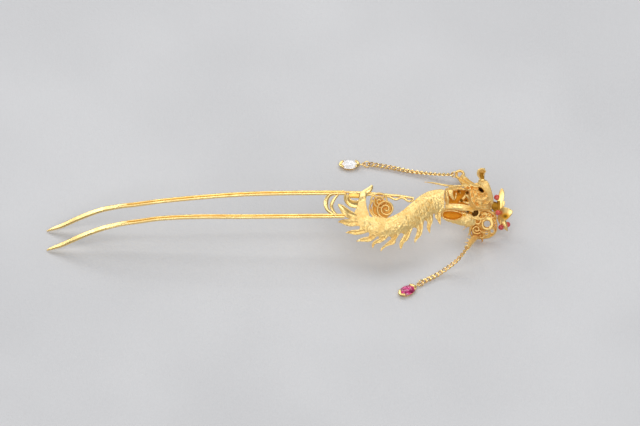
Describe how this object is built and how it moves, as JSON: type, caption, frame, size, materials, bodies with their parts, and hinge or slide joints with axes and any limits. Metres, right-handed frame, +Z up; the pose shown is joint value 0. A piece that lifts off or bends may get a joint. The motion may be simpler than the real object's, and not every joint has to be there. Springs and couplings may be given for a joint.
{
  "type": "two-pronged hairpin",
  "caption": "Arched forked hairpin with a hollow flame-finned dragon ornament, a beaded star flower, and curb chains that end in marquise-cut drops.",
  "frame": {"origin": "under the middle of the whole piece, on the surface that it lies on", "axes": "+X from the prong points to the flower, +Y away from the show side, +Z up"},
  "size_m": [0.1506, 0.0618, 0.022],
  "materials": {
    "polished_gold": "pale yellow gold, polished with fine hand scratches",
    "chased_gold": "yellow gold, chased and matt with bright edges and deep orange hollows",
    "chain_gold": "yellow gold wire, polished",
    "red_bead": "polished coral red",
    "clear_stone": "clear, faceted",
    "ruby_stone": "ruby pink, faceted"
  },
  "bodies": {
    "root": {"hair_fork": "polished_gold", "spine_rail": "polished_gold", "tail_leaves": "polished_gold", "scroll_cloud": "chased_gold", "body_shell": "chased_gold", "head_shell": "chased_gold", "lower_jaw": "chased_gold", "face_scrolls": "chased_gold", "star_flower": "polished_gold", "bead_1": "red_bead", "bead_2": "red_bead", "bead_3": "red_bead", "bead_4": "red_bead", "back_rod": "chased_gold", "front_rod": "chased_gold", "back_chain": "chain_gold", "front_chain": "chain_gold", "back_jump_ring": "chain_gold", "front_jump_ring": "chain_gold", "clear_setting": "polished_gold", "ruby_setting": "polished_gold", "clear_stone": "clear_stone", "ruby_stone": "ruby_stone"}
  },
  "joints": []
}
